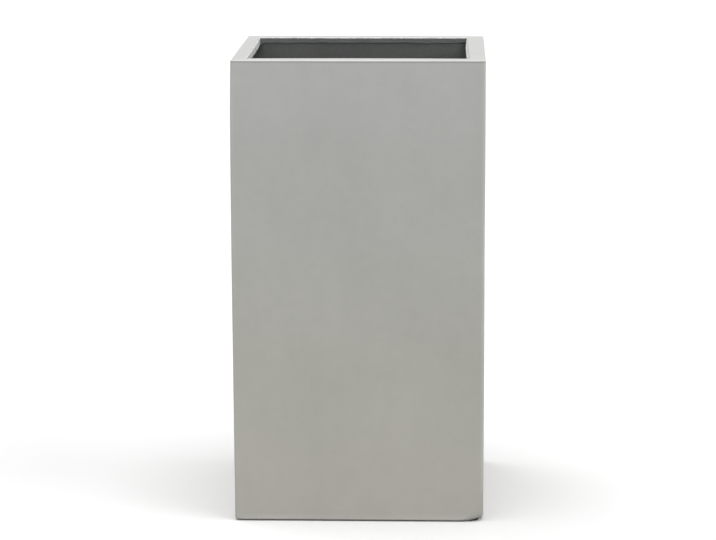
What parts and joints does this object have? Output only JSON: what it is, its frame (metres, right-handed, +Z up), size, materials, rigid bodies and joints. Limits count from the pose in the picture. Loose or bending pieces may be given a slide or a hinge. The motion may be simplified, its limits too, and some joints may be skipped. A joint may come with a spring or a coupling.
{
  "type": "tall square planter",
  "caption": "Tall square glass-fibre floor planter with a returned rim, a laminated inner skin, a bonded base with a drain hole, and a rubber plug that lifts out.",
  "frame": {"origin": "on the floor, under the middle of the planter", "axes": "+Z up, -Y towards the front face, +X to the right of someone facing the front"},
  "size_m": [0.4, 0.4, 0.74],
  "materials": {
    "face_coat": "satin light grey face coat of glass-fibre moulding, faintly clouded",
    "dark_laminate": "dark pigmented glass mat and resin, slightly rough",
    "lip_resin": "brushed resin over a hand-trimmed edge, rough",
    "black_rubber": "matt black rubber"
  },
  "bodies": {
    "planter": {"outer_shell": "face_coat", "inner_laminate": "dark_laminate", "mouth_seal": "lip_resin", "base_panel": "dark_laminate", "base_bead": "dark_laminate", "foot_pad_front_left": "black_rubber", "foot_pad_front_right": "black_rubber", "foot_pad_back_left": "black_rubber", "foot_pad_back_right": "black_rubber"},
    "plug": {"drain_plug": "black_rubber"}
  },
  "joints": [
    {"name": "plug_lift", "type": "slide", "parent": "planter", "child": "plug", "axis": [0, 0, 1], "range_m": [0, 0.76]}
  ]
}
